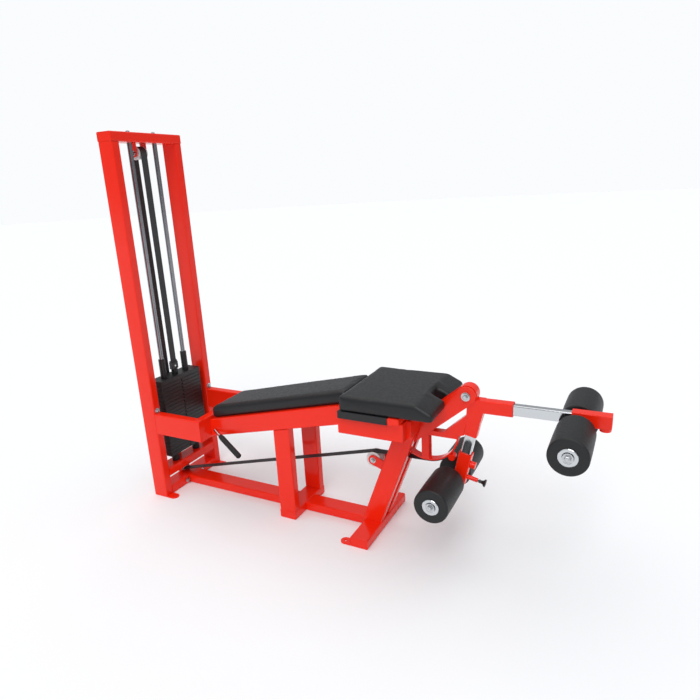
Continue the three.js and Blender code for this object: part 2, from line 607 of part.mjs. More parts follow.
/** Points on an arc about a pulley, from one angle to another in degrees. */
function arc({ x, z, r }, from, to, steps) {
  return Array.from({ length: steps + 1 }, (_, i) => {
    const a = THREE.MathUtils.degToRad(from + ((to - from) * i) / steps);
    return new THREE.Vector2(x + r * Math.cos(a), z + r * Math.sin(a));
  });
}

/** Angle in degrees of the line that passes over one circle and under the next. */
function crossTangent(a, b) {
  const [dx, dz] = [b.x - a.x, b.z - a.z];
  const turn = Math.atan2(dz, dx) - Math.asin((a.r + b.r) / Math.hypot(dx, dz));
  return THREE.MathUtils.radToDeg(turn);
}

/** Angle in degrees of the line that passes under one circle and over the next. */
function underOver(a, b) {
  const [dx, dz] = [b.x - a.x, b.z - a.z];
  return THREE.MathUtils.radToDeg(Math.atan2(dz, dx) + Math.asin((a.r + b.r) / Math.hypot(dx, dz)));
}

function buildBelt(clampZ) {
  const lift = BELT.t / 2 + GAP;
  const [top, low, idler, cam] = [TOP_PULLEY, LOW_PULLEY, IDLER, CAM].map((c) => ({ ...c, r: c.r + lift }));
  const rise = underOver(low, idler);
  const lead = crossTangent(idler, cam);
  const run = [
    ...arc(top, 0, 180, 12),
    ...arc(low, 180, 270 + rise, 10),
    ...arc(idler, 90 + rise, 90 + lead, 6),
  ];
  add("belt_run", strip(run), webbing);
  const front = top.x + top.r;
  const strand = new THREE.BoxGeometry(BELT.t, BELT.w, top.z - GAP - clampZ - GAP);
  add("belt_front_strand", strand.translate(front, 0, (top.z - GAP + clampZ + GAP) / 2), webbing);
  const from = arc(idler, 90 + lead, 90 + lead, 1)[0];
  const to = arc(cam, lead - 90, lead - 90, 1)[0];
  const along = to.clone().sub(from).normalize().multiplyScalar(GAP);
  add("belt_lead", strip([from.add(along), to.clone().sub(along)]), webbing);
  const wrap = [to.clone().add(along), ...arc(cam, lead - 88, BELT_END.angle - 4.5, 10)];
  add("belt_cam_wrap", strip(wrap), webbing);
}

buildTower();
const headZ = buildStack();
const clampZ = selectorStem(headZ);
buildCage();
buildBenchFrame();
buildIdler();
buildFork();
buildPads();
addPair("hand_grip", handGrip, rubber);
buildLever();
buildBelt(clampZ);

machine.position.x = -TUBE_X;

export default machine;
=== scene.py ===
# %% [markdown]
# # A leg extension and leg curl machine
# A weight tower stands at one end of a welded bench. A lever with foam rollers hangs on the other
# end, and a flat belt runs from the lever's cam, under the bench, to the weights in the tower.
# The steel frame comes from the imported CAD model, and every piece made here takes its place from it.

# %% Load the frame
import json
import math

import bmesh
import bpy
import numpy as np
from mathutils import Matrix, Vector

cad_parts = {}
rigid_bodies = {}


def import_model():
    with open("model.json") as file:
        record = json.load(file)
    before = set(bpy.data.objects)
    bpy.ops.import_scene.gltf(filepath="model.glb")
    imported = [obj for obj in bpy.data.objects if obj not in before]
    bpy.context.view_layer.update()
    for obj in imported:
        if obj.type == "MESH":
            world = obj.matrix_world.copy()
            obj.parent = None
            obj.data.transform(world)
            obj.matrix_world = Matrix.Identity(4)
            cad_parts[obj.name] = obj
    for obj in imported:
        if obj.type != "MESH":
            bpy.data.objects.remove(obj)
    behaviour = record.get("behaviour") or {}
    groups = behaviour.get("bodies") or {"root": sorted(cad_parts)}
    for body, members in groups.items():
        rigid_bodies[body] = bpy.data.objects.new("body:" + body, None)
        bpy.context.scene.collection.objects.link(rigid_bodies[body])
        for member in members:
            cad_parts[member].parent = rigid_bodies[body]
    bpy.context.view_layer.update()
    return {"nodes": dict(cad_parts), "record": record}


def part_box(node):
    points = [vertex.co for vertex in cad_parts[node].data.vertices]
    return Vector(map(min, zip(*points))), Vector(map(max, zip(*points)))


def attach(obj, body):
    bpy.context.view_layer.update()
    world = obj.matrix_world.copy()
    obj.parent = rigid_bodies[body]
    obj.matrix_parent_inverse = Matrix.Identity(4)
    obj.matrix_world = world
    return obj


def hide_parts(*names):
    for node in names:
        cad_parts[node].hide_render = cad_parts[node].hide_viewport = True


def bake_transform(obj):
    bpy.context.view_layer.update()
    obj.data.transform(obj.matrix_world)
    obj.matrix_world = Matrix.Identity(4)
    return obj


MM = 0.001
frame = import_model()

# %% [markdown]
# ## Camera
# The machine is seen from the roller end's near side, from a little above head height.
# The camera's own axes are worked out from a yaw, a pitch down and a small roll.

# %% Place the camera
CAMERA_AT = Vector((2.01689, -1.96755, 1.40795))
YAW, PITCH, ROLL = 117.97, 16.13, -3.09
LENS = 29.69


def camera_axes(yaw, pitch, roll):
    """Right, up and backward of a camera that looks along yaw, tilts down by pitch and rolls."""
    yaw, pitch, roll = map(math.radians, (yaw, pitch, roll))
    ahead = Vector((math.cos(pitch) * math.cos(yaw), math.cos(pitch) * math.sin(yaw), -math.sin(pitch)))
    level = Vector((math.sin(yaw), -math.cos(yaw), 0))
    over = level.cross(ahead)
    right = math.cos(roll) * level + math.sin(roll) * over
    up = -math.sin(roll) * level + math.cos(roll) * over
    return right, up, -ahead


camera_data = bpy.data.cameras.new("camera")
camera_data.lens = LENS
camera = bpy.data.objects.new("camera", camera_data)
bpy.context.scene.collection.objects.link(camera)
turn = Matrix(camera_axes(YAW, PITCH, ROLL)).transposed()
camera.matrix_world = Matrix.Translation(CAMERA_AT) @ turn.to_4x4()
bpy.context.scene.camera = camera
print("camera height", round(CAMERA_AT.z, 3), "m")

# %% [markdown]
# ## Studio
# The machine stands on a pale even floor in soft light from all sides, with a little more from
# above and in front. A sky that is brighter overhead does most of the work, and its darker sides give
# the chrome something to mirror. Two wide suns model the edges, and they light the floor evenly.

# %% Colours, nodes and the studio


def linear(code):
    """The linear colour of an sRGB hex code, as a shader wants it."""
    parts = [int(code[i : i + 2], 16) / 255 for i in (1, 3, 5)]
    return tuple(p / 12.92 if p <= 0.04045 else ((p + 0.055) / 1.055) ** 2.4 for p in parts) + (1.0,)


def add(tree, kind, settings=None, links=None):
    """Adds one node. Settings are attributes, and links set its inputs to values or to other outputs."""
    made = tree.nodes.new(kind)
    for name, value in (settings or {}).items():
        setattr(made, name, value)
    for name, value in (links or {}).items():
        if isinstance(value, bpy.types.NodeSocket):
            tree.links.new(value, made.inputs[name])
        else:
            made.inputs[name].default_value = value
    return made


def new_material(name, colour, **values):
    """A material with one Principled shader. Values are its sockets' values, with _ for a space."""
    material = bpy.data.materials.new(name)
    material.use_nodes = True
    shader = material.node_tree.nodes["Principled BSDF"]
    shader.inputs["Base Color"].default_value = linear(colour)
    for key, value in values.items():
        shader.inputs[key.replace("_", " ")].default_value = value
    return material, material.node_tree, shader


BACKDROP = "#fafcfe"
SKY_TOP, SKY_SIDE, SKY_STRENGTH = "#ffffff", "#c3c8cf", 0.62
KEY_SUN, TOP_SUN = 1.3, 0.85  # watts on a square metre
FLOOR, FLOOR_RADIUS, FLOOR_DROP = "#f4f6f8", 40, 0.0005  # the last two in metres


def sky_around(world):
    """A pale backdrop for the eye, and a darker sky with a bright top for light and reflections."""
    tree = world.node_tree
    backdrop = tree.nodes["Background"]
    backdrop.inputs["Color"].default_value = linear(BACKDROP)
    backdrop.inputs["Strength"].default_value = 1.0
    rays = add(tree, "ShaderNodeLightPath")
    way = add(tree, "ShaderNodeTexCoord").outputs["Generated"]
    height = add(tree, "ShaderNodeSeparateXYZ", links={"Vector": way}).outputs["Z"]
    share = add(tree, "ShaderNodeMapRange", links={"Value": height, "From Min": -0.1, "From Max": 0.9})
    shade = add(tree, "ShaderNodeMix", {"data_type": "RGBA"}, {"Factor": share.outputs["Result"]})
    shade.inputs[6].default_value = linear(SKY_SIDE)
    shade.inputs[7].default_value = linear(SKY_TOP)
    links = {"Color": shade.outputs[2], "Strength": SKY_STRENGTH}
    sky = add(tree, "ShaderNodeBackground", links=links)
    mixed = add(tree, "ShaderNodeMixShader", links={"Fac": rays.outputs["Is Camera Ray"]})
    tree.links.new(sky.outputs["Background"], mixed.inputs[1])
    tree.links.new(backdrop.outputs["Background"], mixed.inputs[2])
    tree.links.new(mixed.outputs["Shader"], tree.nodes["World Output"].inputs["Surface"])


def soft_sun(name, towards, strength, spread_deg):
    """A distant light from the direction given, with soft shadows and no fall-off."""
    light = bpy.data.lights.new(name, "SUN")
    light.energy = strength
    light.angle = math.radians(spread_deg)
    lamp = bpy.data.objects.new(name, light)
    lamp.matrix_world = Vector(towards).to_track_quat("Z", "Y").to_matrix().to_4x4()
    bpy.context.scene.collection.objects.link(lamp)


def studio():
    """An even pale sky, two soft suns and a floor that only holds the machine's soft shadow."""
    world = bpy.data.worlds.new("studio")
    bpy.context.scene.world = world
    world.use_nodes = True
    sky_around(world)
    soft_sun("key", (0.35, -1.0, 1.1), KEY_SUN, 40)
    soft_sun("top", (-0.3, 0.2, 1.0), TOP_SUN, 70)
    bpy.ops.mesh.primitive_circle_add(
        vertices=96, radius=FLOOR_RADIUS, fill_type="NGON", location=(0, 0, -FLOOR_DROP)
    )
    floor = bpy.context.object
    floor.name = "floor"
    floor.data.materials.append(new_material("pale_floor", FLOOR, Roughness=0.9, Specular_IOR_Level=0.1)[0])


bpy.context.scene.view_settings.view_transform = "Standard"
studio()
print("studio ready")

# %% [markdown]
# ## Finishes
# Each finish starts from what the surface is and how it was made, because that decides its sheen
# and its texture. Patterns read Object coordinates, and their scale comes from a size in millimetres.

# %% Materials


def noise(tree, size_mm, detail=3.0, rough=0.5):
    """A noise whose features are about size_mm across, on Object coordinates."""
    place = add(tree, "ShaderNodeTexCoord")
    links = {"Vector": place.outputs["Object"], "Scale": 1000 / size_mm, "Detail": detail, "Roughness": rough}
    return add(tree, "ShaderNodeTexNoise", links=links).outputs["Fac"]


def spread(tree, value, low, high):
    """Maps a pattern from 0.3..0.7 onto low..high."""
    links = {"Value": value, "From Min": 0.3, "From Max": 0.7, "To Min": low, "To Max": high}
    return add(tree, "ShaderNodeMapRange", links=links).outputs["Result"]


def bump(tree, shader, height, depth_mm, strength=1.0):
    """Raises the surface by a pattern, on top of any bump that the shader has already."""
    links = {"Height": height, "Distance": depth_mm * MM, "Strength": strength}
    if shader.inputs["Normal"].links:
        links["Normal"] = shader.inputs["Normal"].links[0].from_socket
    made = add(tree, "ShaderNodeBump", links=links)
    tree.links.new(made.outputs["Normal"], shader.inputs["Normal"])


def tint(tree, shader, value, dark, light):
    """Varies the base colour between two hex colours by a pattern."""
    ramp = add(tree, "ShaderNodeMix", {"data_type": "RGBA"}, {"Factor": value})
    ramp.inputs[6].default_value = linear(dark)
    ramp.inputs[7].default_value = linear(light)
    tree.links.new(ramp.outputs[2], shader.inputs["Base Color"])


def powder_coat():
    """Polyester powder coat, baked on: a smooth gloss film with a faint orange peel."""
    material, tree, shader = new_material("powder_coat_red", "#f2250b", IOR=1.5, Specular_IOR_Level=0.34)
    tint(tree, shader, noise(tree, 180, 2), "#ee2209", "#f6280d")
    tree.links.new(spread(tree, noise(tree, 40), 0.15, 0.22), shader.inputs["Roughness"])
    bump(tree, shader, noise(tree, 9, 1), 0.03)
    return material


def chrome_plate():
    """Bright chrome over steel tube: mirror-like, with the faint draw lines of the tube under it."""
    material, tree, shader = new_material("chrome_plate", "#cdd0d3", Metallic=1.0)
    tree.links.new(spread(tree, noise(tree, 25), 0.05, 0.13), shader.inputs["Roughness"])
    bump(tree, shader, noise(tree, 14, 1), 0.01)
    return material


def ground_steel():
    """Ground and polished guide rod, wiped with oil: darker than chrome, drawn along its length."""
    material, tree, shader = new_material("ground_steel", "#85888c", Metallic=1.0)
    tree.links.new(spread(tree, noise(tree, 6), 0.14, 0.24), shader.inputs["Roughness"])
    tint(tree, shader, noise(tree, 30), "#7a7d81", "#909397")
    return material


def zinc_plate():
    """Bright zinc on bolts, nuts and washers: softer than chrome and slightly uneven."""
    material, tree, shader = new_material("zinc_plate", "#c6c9cc", Metallic=1.0)
    tree.links.new(spread(tree, noise(tree, 4), 0.16, 0.34), shader.inputs["Roughness"])
    tint(tree, shader, noise(tree, 9), "#b4b7bb", "#d2d4d6")
    return material


def black_iron():
    """Black enamel on cast iron plates: satin, over the fine grit of the casting."""
    material, tree, shader = new_material("black_enamel_iron", "#131315")
    tint(tree, shader, noise(tree, 30), "#0f1011", "#191a1b")
    tree.links.new(spread(tree, noise(tree, 6), 0.36, 0.52), shader.inputs["Roughness"])
    bump(tree, shader, noise(tree, 1.6, 2), 0.06)
    return material


VINYL_GRAIN = 2.4  # mm across one pebble of the grain


def black_vinyl():
    """Upholstery vinyl: an embossed grain under a satin coat, drawn at 2.4 mm so that it shows."""
    material, tree, shader = new_material("black_vinyl", "#131416", Specular_IOR_Level=0.42)
    shader.inputs["Sheen Weight"].default_value = 0.03
    shader.inputs["Sheen Roughness"].default_value = 0.4
    place = add(tree, "ShaderNodeTexCoord").outputs["Object"]
    links = {"Vector": place, "Scale": 1000 / VINYL_GRAIN}
    grain = add(tree, "ShaderNodeTexVoronoi", {"feature": "DISTANCE_TO_EDGE"}, links)
    creases = spread(tree, grain.outputs["Distance"], 0.0, 1.0)
    tint(tree, shader, noise(tree, 60), "#0f1012", "#16171a")
    tree.links.new(spread(tree, noise(tree, 12), 0.38, 0.5), shader.inputs["Roughness"])
    bump(tree, shader, creases, 0.05, 0.6)
    bump(tree, shader, noise(tree, 90, 1), 0.5, 0.5)
    return material


def board_wrap():
    """The same vinyl stretched thin over the plywood under the seat: duller and darker."""
    material, tree, shader = new_material("board_wrap", "#1b1b1d", Roughness=0.6)
    tint(tree, shader, noise(tree, 8), "#161618", "#202022")
    bump(tree, shader, noise(tree, 1.4, 2), 0.06)
    return material


def roller_foam():
    """Moulded nitrile foam: a dense closed skin with a fine pebble, dull with a broad soft sheen."""
    material, tree, shader = new_material("roller_foam", "#141517", Specular_IOR_Level=0.45)
    tint(tree, shader, noise(tree, 35), "#111213", "#18191b")
    tree.links.new(spread(tree, noise(tree, 5), 0.46, 0.6), shader.inputs["Roughness"])
    bump(tree, shader, noise(tree, 1.5, 3, 0.6), 0.09, 0.7)
    return material


def moulded_rubber():
    """Black rubber from a mould: matt, with a slight bloom on its colour."""
    material, tree, shader = new_material("moulded_rubber", "#1d1d1f", Specular_IOR_Level=0.4)
    tint(tree, shader, noise(tree, 7), "#18181a", "#242426")
    tree.links.new(spread(tree, noise(tree, 3), 0.55, 0.72), shader.inputs["Roughness"])
    bump(tree, shader, noise(tree, 1.2, 2), 0.05)
    return material


def cast_nylon():
    """Turned cast nylon pulleys: off-white, waxy and slightly see-through."""
    material, tree, shader = new_material("cast_nylon", "#dcdddc", Roughness=0.36)
    shader.inputs["Subsurface Weight"].default_value = 0.08
    shader.inputs["Subsurface Radius"].default_value = (0.003, 0.003, 0.003)
    tint(tree, shader, noise(tree, 10), "#d2d3d2", "#e4e5e4")
    return material


BELT_RIB = 2.5  # mm from rib to rib
WAVE_BANDS = 3.2  # bands that a wave texture draws in one unit, about


def flat_belt():
    """Rubber belt over cords: ribs of 2.5 mm run along it, under a dull woven skin."""
    material, tree, shader = new_material("flat_belt", "#292a2c")
    place = add(tree, "ShaderNodeTexCoord").outputs["Object"]
    settings = {"wave_type": "BANDS", "bands_direction": "Y"}
    links = {"Vector": place, "Scale": 1000 / BELT_RIB / WAVE_BANDS}
    ribs = add(tree, "ShaderNodeTexWave", settings, links).outputs["Fac"]
    tint(tree, shader, noise(tree, 2.2), "#232426", "#303133")
    tree.links.new(spread(tree, noise(tree, 4), 0.5, 0.66), shader.inputs["Roughness"])
    bump(tree, shader, ribs, 0.12, 0.6)
    return material


def black_knob():
    """Moulded nylon knob: black, with a satin skin."""
    material, tree, shader = new_material("black_knob", "#19191b")
    tree.links.new(spread(tree, noise(tree, 6), 0.32, 0.44), shader.inputs["Roughness"])
    bump(tree, shader, noise(tree, 1.5), 0.02)
    return material


finish = {
    "red_paint": powder_coat(),
    "chrome": chrome_plate(),
    "zinc": zinc_plate(),
    "guide_rod": ground_steel(),
    "black_iron": black_iron(),
    "black_vinyl": black_vinyl(),
    "board_cover": board_wrap(),
    "roller_foam": roller_foam(),
    "black_rubber": moulded_rubber(),
    "pulley_nylon": cast_nylon(),
    "belt_webbing": flat_belt(),
    "knob_black": black_knob(),
}
print(len(finish), "finishes")

# %% [markdown]
# ## Steel pieces with softened edges
# Real tube has rolled corners and every cut edge is rounded by the paint, and that thin highlight is
# what makes steel look real. The CAD solids are exact but sharp, so each gets a merged copy whose
# outer edges are bevelled. Weighted normals keep the large faces flat while the corners shade round.

# %% Round the edges of the CAD pieces
node_body = {n: body for body, nodes in frame["record"]["behaviour"]["bodies"].items() for n in nodes}
node_slot = {entry["node"]: entry["material_slot"] for entry in frame["record"]["subparts"]}
ROLLED = math.radians(30)  # a rolled corner's edges turn by more than this
CUT = math.radians(60)  # a cut edge turns by more than this


def link(name, mesh):
    made = bpy.data.objects.new(name, mesh)
    bpy.context.scene.collection.objects.link(made)
    return made


def settled(piece):
    """Turns a piece with modifiers into a plain mesh and drops the modifiers."""
    bpy.context.view_layer.update()
    seen = piece.evaluated_get(bpy.context.evaluated_depsgraph_get())
    mesh = bpy.data.meshes.new_from_object(seen)
    piece.modifiers.clear()
    piece.data = mesh
    return piece


def convex_edges(work, least, most):
    """Edges that stick out and turn by an angle between least and most."""
    found = []
    for edge in work.edges:
        if len(edge.link_faces) == 2 and edge.is_convex and least < edge.calc_face_angle(0) <= most:
            found.append(edge)
    return found


def smooth_faces(piece, sharp_deg=38):
    """Shades a mesh smooth, with its hard corners kept and its large faces flat."""
    for face in piece.data.polygons:
        face.use_smooth = True
    piece.data.set_sharp_from_angle(angle=math.radians(sharp_deg))
    weighted = piece.modifiers.new("weighted", "WEIGHTED_NORMAL")
    weighted.keep_sharp = True
    return settled(piece)


def merged_copy(node):
    """A bmesh of a CAD node with its doubles merged and its flat areas joined."""
    work = bmesh.new()
    work.from_mesh(frame["nodes"][node].data)
    bmesh.ops.remove_doubles(work, verts=work.verts, dist=2e-5)
    bmesh.ops.dissolve_limit(work, angle_limit=math.radians(0.6), verts=work.verts, edges=work.edges)
    return work


def finished(piece, node, slot=None, body=None):
    """Gives a piece its finish and its body, and lets it stand for a CAD node."""
    slot = slot or node_slot[node]
    piece.data.materials.clear()
    piece.data.materials.append(finish[slot])
    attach(piece, body or node_body[node])
    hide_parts(node)
    return piece


def soften(node, cut=0.4, rolled=1.8, sharp_deg=38):
    """Replaces a CAD node by a copy with its rolled corners and cut edges rounded, in millimetres."""
    work = merged_copy(node)
    corners = convex_edges(work, ROLLED, CUT)
    if corners and rolled:
        bmesh.ops.bevel(work, geom=corners, offset=rolled * MM, segments=2, profile=0.5, affect="EDGES")
    edges = convex_edges(work, CUT, math.pi)
    if edges and cut:
        bmesh.ops.bevel(work, geom=edges, offset=cut * MM, segments=2, profile=0.5, affect="EDGES")
    mesh = bpy.data.meshes.new(node + "_finished")
    work.to_mesh(mesh)
    work.free()
    piece = smooth_faces(link(node + "_finished", mesh), sharp_deg)
    return finished(piece, node)


TUBES = [
    "tower_upright_near", "tower_upright_far", "tower_top_beam", "tower_base_beam", "stack_support_beam",
    "cage_side_beam_near", "cage_side_beam_far", "cage_cross_beam", "bench_rail_near", "bench_rail_far",
    "bench_leg_near", "bench_leg_far", "mid_foot", "base_rail_rear", "base_rail_front", "front_foot",
    "front_post_near", "front_post_far", "seat_rail_near", "seat_rail_far", "seat_cross_tube", "seat_bearer",
]  # fmt: skip
for tube in TUBES:
    soften(tube)
FITTINGS = [
    "idler_bracket", "bottom_pulley_bracket", "fork_plate_near", "fork_plate_far", "pivot_shaft",
    "lever_frame", "upper_inner_tube", "lower_inner_tube", "upper_roller_bracket",
    "lower_roller_bracket", "lower_pop_pin", "stack_head_plate", "selector_stem", "seat_board",
    "top_pulley", "bottom_pulley", "idler_pulley", "guide_rod_near", "guide_rod_far",
]  # fmt: skip
for fitting in FITTINGS:
    soften(fitting, cut=0.5, rolled=0)
for side in ("near", "far"):
    bpy.data.objects[f"guide_rod_{side}_finished"].data.materials[0] = finish["guide_rod"]
print(len(TUBES), "tubes and", len(FITTINGS), "fittings softened")

# %% [markdown]
# ## Pads
# The bench pad and the seat are foam blocks on boards, wrapped tight in vinyl. Each starts as the
# CAD solid, a little smaller all round but for its base, and with round edges. It is remeshed into
# even cells and blown up by the cloth solver, so that the vinyl crowns between its edges, and no
# point moves far.

# %% Upholster the pads
PAD_SHRINK = 2.2  # mm, how much smaller each pad starts on every side
PAD_SWELL = 3.0  # mm, the furthest that the vinyl may bulge
PAD_CELL = 5.5  # mm, the remeshed cell
PAD_EVEN = 12  # passes that soften the creases, as foam under vinyl does
PAD_EDGE = 12.0  # mm, radius of the wrapped edges


def rounded_block(node, radius, shrink):
    """A copy of a CAD pad pulled in on every side, with its outer edges rounded."""
    work = merged_copy(node)
    low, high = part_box(node)
    centre = (low + high) / 2
    size = high - low
    for vert in work.verts:
        for axis in range(2):
            away = vert.co[axis] - centre[axis]
            vert.co[axis] = centre[axis] + away * (1 - 2 * shrink * MM / size[axis])
        vert.co.z = low.z + (vert.co.z - low.z) * (1 - shrink * MM / size.z)
    corners = convex_edges(work, ROLLED, math.pi)
    bmesh.ops.bevel(work, geom=corners, offset=radius * MM, segments=5, profile=0.5, affect="EDGES")
    bmesh.ops.triangulate(work, faces=work.faces)
    mesh = bpy.data.meshes.new(node + "_cover")
    work.to_mesh(mesh)
    work.free()
    return link(node + "_cover", mesh)


def points_of(mesh):
    flat = np.empty(len(mesh.vertices) * 3, np.float32)
    mesh.vertices.foreach_get("co", flat)
    return flat.reshape(-1, 3)


def inflate(piece, pressure, frames=16):
    """Blows the mesh up as cloth and keeps each point within PAD_SWELL of where it began."""
    start = points_of(piece.data).copy()
    cloth = piece.modifiers.new("cloth", "CLOTH")
    cloth.settings.use_pressure = True
    cloth.settings.uniform_pressure_force = pressure
    cloth.settings.effector_weights.gravity = 0
    cloth.settings.quality = 5
    cloth.settings.tension_stiffness = 30
    cloth.settings.compression_stiffness = 30
    cloth.settings.bending_stiffness = 4
    for step in range(1, frames + 1):
        bpy.context.scene.frame_set(step)
    settled(piece)
    bpy.context.scene.frame_set(1)
    moved = points_of(piece.data) - start
    far = np.linalg.norm(moved, axis=1, keepdims=True)
    limit = PAD_SWELL * MM
    soft = limit * np.tanh(far / limit) / np.maximum(far, 1e-9)
    piece.data.vertices.foreach_set("co", (start + moved * soft).ravel())
    piece.data.update()
    return float(far.max())


def pad_cover(node):
    """A padded cover for one pad: rounded, remeshed, blown up and subdivided once."""
    piece = rounded_block(node, PAD_EDGE, PAD_SHRINK)
    remesh = piece.modifiers.new("cells", "REMESH")
    remesh.mode = "VOXEL"
    remesh.voxel_size = PAD_CELL * MM
    even = piece.modifiers.new("even", "SMOOTH")
    even.factor = 0.5
    even.iterations = PAD_EVEN
    settled(piece)
    swell = inflate(piece, pressure=4.0)
    fine = piece.modifiers.new("fine", "SUBSURF")
    fine.levels = 1
    fine.render_levels = 1
    settled(piece)
    for face in piece.data.polygons:
        face.use_smooth = True
    finished(piece, node)
    print(node, "swells by up to", round(swell * 1000, 1), "mm before its limit")
    return piece


pad_cover("bench_pad")
pad_cover("seat_pad")

# %% [markdown]
# ## Foam rollers
# Each roller is a tube of moulded foam on the axle, with round shoulders and a shallow dish in its
# end. A profile is spun about the axle, because every section across it is a circle. The chromed
# washer and its cup are spun the same way.

# %% Spin the rollers and their washers


def spun(name, profile, centre, steps=72):
    """Spins [radius, y] points in millimetres about the Y axis through centre into a closed mesh."""
    work = bmesh.new()
    ring = [work.verts.new(centre + Vector((r * MM, y * MM, 0))) for r, y in profile]
    edges = [work.edges.new(pair) for pair in zip(ring, ring[1:])]
    geometry = ring + edges
    bmesh.ops.spin(work, geom=geometry, cent=centre, axis=(0, 1, 0), angle=2 * math.pi, steps=steps)
    bmesh.ops.remove_doubles(work, verts=work.verts, dist=1e-6)
    bmesh.ops.recalc_face_normals(work, faces=work.faces)
    mesh = bpy.data.meshes.new(name)
    work.to_mesh(mesh)
    work.free()
    return link(name, mesh)


def corner(radius, y, r, start, steps=5):
    """Points of a quarter round of radius r about (radius, y), from an angle start in degrees."""
    angles = [math.radians(start + 90 * i / steps) for i in range(steps + 1)]
    return [(radius + r * math.cos(a), y + r * math.sin(a)) for a in angles]


ROLLER_SHOULDER = 7.0  # mm, radius of the round shoulders
ROLLER_CROWN = 0.7  # mm that the foam stands out at its middle


def roller_profile(outer, inner, y0, y1):
    """Half section of a roller from its inner end y0 to its outer end y1, with a dished outer face."""
    r = ROLLER_SHOULDER
    body = [(inner, y0), (outer - r, y0)]
    for angle in np.linspace(0.3, math.pi / 2, 5):
        body.append((outer - r + r * math.sin(angle), y0 + r - r * math.cos(angle)))
    for t in (0.2, 0.4, 0.6, 0.8):
        body.append((outer + ROLLER_CROWN * math.sin(math.pi * t), y0 + r + (y1 - y0 - 2 * r) * t))
    body += corner(outer - r, y1 - r, r, 0)
    body += [(outer * 0.62, y1 - 0.6), (33, y1 - 1.6), (inner, y1 - 1.6), (inner, y0)]
    return body


def build_roller(node):
    """The foam of one roller, and the washer with its cup that rides on the roller's outer end."""
    low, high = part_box(node)
    side = -1 if high.y < 0 else 1
    centre = Vector(((low.x + high.x) / 2, 0, (low.z + high.z) / 2))
    outer = (high.x - low.x) / 2 / MM - 0.6
    ends = sorted((abs(low.y) / MM, abs(high.y) / MM))
    profile = roller_profile(outer, 9.6, ends[0], ends[1] - 4)
    foam = spun(node + "_foam", [(r, side * y) for r, y in profile], centre)
    foam = finished(smooth_faces(foam, 50), node, "roller_foam")
    y = ends[1] - 5.4
    disc = [(9.6, y), (29.5, y), (31, y + 1), (31, y + 2.4), (29.4, y + 3.6), (21, y + 3.9), (19.5, y + 3.2)]
    disc += [(17.5, y + 2.6), (15.5, y + 2.6), (13.8, y + 4.4), (12.5, y + 5.2), (9.6, y + 5.2), (9.6, y)]
    washer = smooth_faces(spun(node + "_washer", [(r, side * v) for r, v in disc], centre, 56), 32)
    washer.data.materials.append(finish["chrome"])
    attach(washer, node_body[node])
    return foam


ROLLERS = ["upper_roller_near", "upper_roller_far", "lower_roller_near", "lower_roller_far"]
for roller in ROLLERS:
    build_roller(roller)
print(len(ROLLERS), "rollers spun")

# %% [markdown]
# ## Weight plates
# Twenty equal cast plates lie on each other, so one plate is made well and Geometry Nodes stacks it.
# A plate has round corners, chamfered rims, two holes for the guide rods, one for the selector rod,
# and a cross hole in its front edge for the selector pin.

# %% Cast one plate and stack it
PLATES_PER_NODE = 4
plate_nodes = [f"weight_plates_{i}" for i in range(1, 6)]
stack_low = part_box(plate_nodes[0])[0]
stack_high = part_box(plate_nodes[-1])[1]
plate_count = PLATES_PER_NODE * len(plate_nodes)
plate_pitch = (stack_high.z - stack_low.z + 0.0003) / plate_count
rod_low, rod_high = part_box("guide_rod_far")
rod_y = (rod_low.y + rod_high.y) / 2
rod_x = (rod_low.x + rod_high.x) / 2


def hole_cutter(radius, at, axis, length, sides=28):
    """A cylinder that is subtracted to leave a hole."""
    work = bmesh.new()
    turned = Vector(axis).to_track_quat("Z", "Y").to_matrix().to_4x4()
    place = Matrix.Translation(at) @ turned
    bmesh.ops.create_cone(
        work, cap_ends=True, segments=sides, radius1=radius, radius2=radius, depth=length, matrix=place
    )
    mesh = bpy.data.meshes.new("cutter")
    work.to_mesh(mesh)
    work.free()
    return link("cutter", mesh)


def one_plate():
    """The lowest plate, as a mesh of its own."""
    size = stack_high - stack_low
    thick = plate_pitch - 0.0011
    work = bmesh.new()
    bmesh.ops.create_cube(work, size=1)
    middle = Vector((rod_x, 0, stack_low.z + thick / 2))
    for vert in work.verts:
        vert.co = Vector((vert.co.x * size.x, vert.co.y * size.y, vert.co.z * thick)) + middle
    upright = [e for e in work.edges if abs(e.verts[0].co.z - e.verts[1].co.z) > thick / 2]
    bmesh.ops.bevel(work, geom=upright, offset=0.005, segments=4, profile=0.5, affect="EDGES")
    rims = [e for e in work.edges if abs(e.verts[0].co.z - e.verts[1].co.z) < 1e-6]
    bmesh.ops.bevel(work, geom=rims, offset=0.0012, segments=2, profile=0.5, affect="EDGES")
    mesh = bpy.data.meshes.new("plate")
    work.to_mesh(mesh)
    work.free()
    plate = link("plate", mesh)
    holes = [hole_cutter(0.0112, Vector((rod_x, s * rod_y, middle.z)), (0, 0, 1), 0.1) for s in (-1, 1)]
    holes.append(hole_cutter(0.009, middle, (0, 0, 1), 0.1))
    front = Vector((rod_x + size.x / 2, 0, middle.z))
    holes.append(hole_cutter(0.0047, front, (1, 0, 0), 0.03, 20))
    for cutter in holes:
        cutter.hide_render = True
        subtract = plate.modifiers.new("hole", "BOOLEAN")
        subtract.object = cutter
        subtract.solver = "EXACT"
    settled(plate)
    for cutter in holes:
        bpy.data.objects.remove(cutter)
    return smooth_faces(plate, 32)


